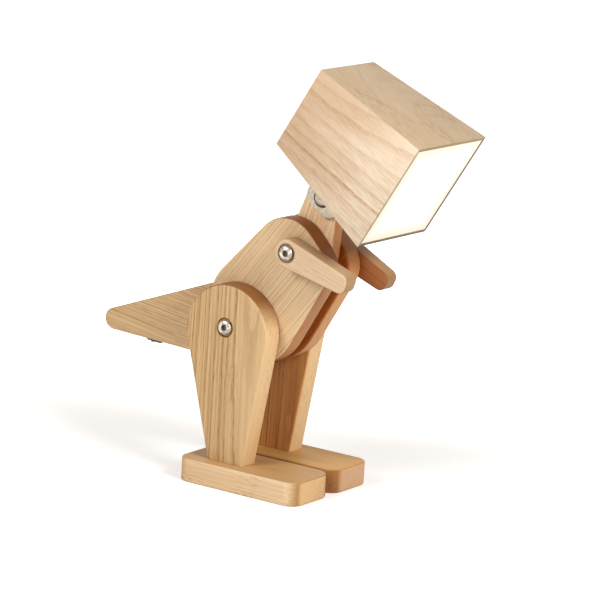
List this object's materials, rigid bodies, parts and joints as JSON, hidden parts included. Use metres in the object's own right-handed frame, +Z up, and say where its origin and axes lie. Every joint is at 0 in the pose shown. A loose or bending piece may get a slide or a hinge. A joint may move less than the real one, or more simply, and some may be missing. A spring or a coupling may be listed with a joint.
{
  "type": "table lamp",
  "caption": "Wooden dinosaur table lamp: board feet, legs, body, tail, arms and neck pivot on cross bolts, and a tapered box shade as its head tilts and lights.",
  "frame": {"origin": "on the ground, under the middle of the lamp's whole length, in its middle plane", "axes": "+X is the way the dinosaur looks, +Y its left side and +Z up"},
  "size_m": [0.2958, 0.099, 0.3174],
  "materials": {
    "ash": "oiled hardwood with straight grain",
    "pale_ash": "pale oiled hardwood",
    "satin_steel": "satin",
    "fibre": "matt dark fibre",
    "dark_plastic": "matt black",
    "pale_plastic": "semi-gloss pale grey",
    "lead_sleeve": "matt",
    "diffuser": "opal",
    "white_plastic": "matt white",
    "diode": "clear over yellow"
  },
  "bodies": {
    "torso": {"left_side_plate": "ash", "right_side_plate": "ash", "hip_bolt": "satin_steel", "hip_nut": "satin_steel", "hip_head_washers": "satin_steel", "hip_limb_washers": "fibre", "shoulder_bolt": "satin_steel", "shoulder_nut": "satin_steel", "shoulder_head_washers": "satin_steel", "shoulder_limb_washers": "fibre", "tail_washers": "fibre", "neck_washers": "fibre", "body_lead": "lead_sleeve"},
    "left_leg": {"left_leg": "ash", "left_foot": "ash", "left_foot_screws": "satin_steel"},
    "right_leg": {"right_leg": "ash", "right_foot": "ash", "right_foot_screws": "satin_steel"},
    "tail": {"tail": "ash", "switch_housing": "dark_plastic", "power_socket": "dark_plastic", "tail_lead": "lead_sleeve"},
    "rocker": {"switch_rocker": "pale_plastic"},
    "left_arm": {"left_arm": "pale_ash"},
    "right_arm": {"right_arm": "pale_ash"},
    "neck": {"neck": "ash", "neck_lead": "lead_sleeve", "head_washers": "fibre"},
    "head": {"head_bracket": "satin_steel", "head_bolt": "satin_steel", "head_nut": "satin_steel", "bracket_screws": "satin_steel", "shade_top": "pale_ash", "shade_bottom": "pale_ash", "shade_left": "pale_ash", "shade_right": "pale_ash", "shade_back": "pale_ash", "diffuser": "diffuser", "led_board": "white_plastic", "led_chips": "diode", "led_posts": "white_plastic", "led_screws": "satin_steel", "led_driver": "white_plastic", "led_leads": "lead_sleeve", "head_lead": "lead_sleeve"}
  },
  "joints": [
    {"name": "left_hip", "type": "hinge", "parent": "torso", "child": "left_leg", "pos_m": [-0.01163, 0, 0.119], "axis": [0, 1, 0], "range_deg": [-20, 20]},
    {"name": "right_hip", "type": "hinge", "parent": "torso", "child": "right_leg", "pos_m": [-0.01163, 0, 0.119], "axis": [0, 1, 0], "range_deg": [-20, 20]},
    {"name": "tail_pivot", "type": "hinge", "parent": "torso", "child": "tail", "pos_m": [-0.01163, 0, 0.119], "axis": [0, 1, 0], "range_deg": [-25, 30]},
    {"name": "left_shoulder", "type": "hinge", "parent": "torso", "child": "left_arm", "pos_m": [0.03583, 0, 0.18153], "axis": [0, -1, 0], "range_deg": [-60, 20]},
    {"name": "right_shoulder", "type": "hinge", "parent": "torso", "child": "right_arm", "pos_m": [0.03583, 0, 0.18153], "axis": [0, -1, 0], "range_deg": [-60, 20]},
    {"name": "neck_pivot", "type": "hinge", "parent": "torso", "child": "neck", "pos_m": [0.03583, 0, 0.18153], "axis": [0, -1, 0], "range_deg": [-15, 20]},
    {"name": "head_tilt", "type": "hinge", "parent": "neck", "child": "head", "pos_m": [0.04628, 0, 0.22055], "axis": [0, -1, 0], "range_deg": [-10, 45]},
    {"name": "switch_rock", "type": "hinge", "parent": "tail", "child": "rocker", "pos_m": [-0.10094, 0, 0.08894], "axis": [0, 1, 0], "range_deg": [0, 14]}
  ]
}
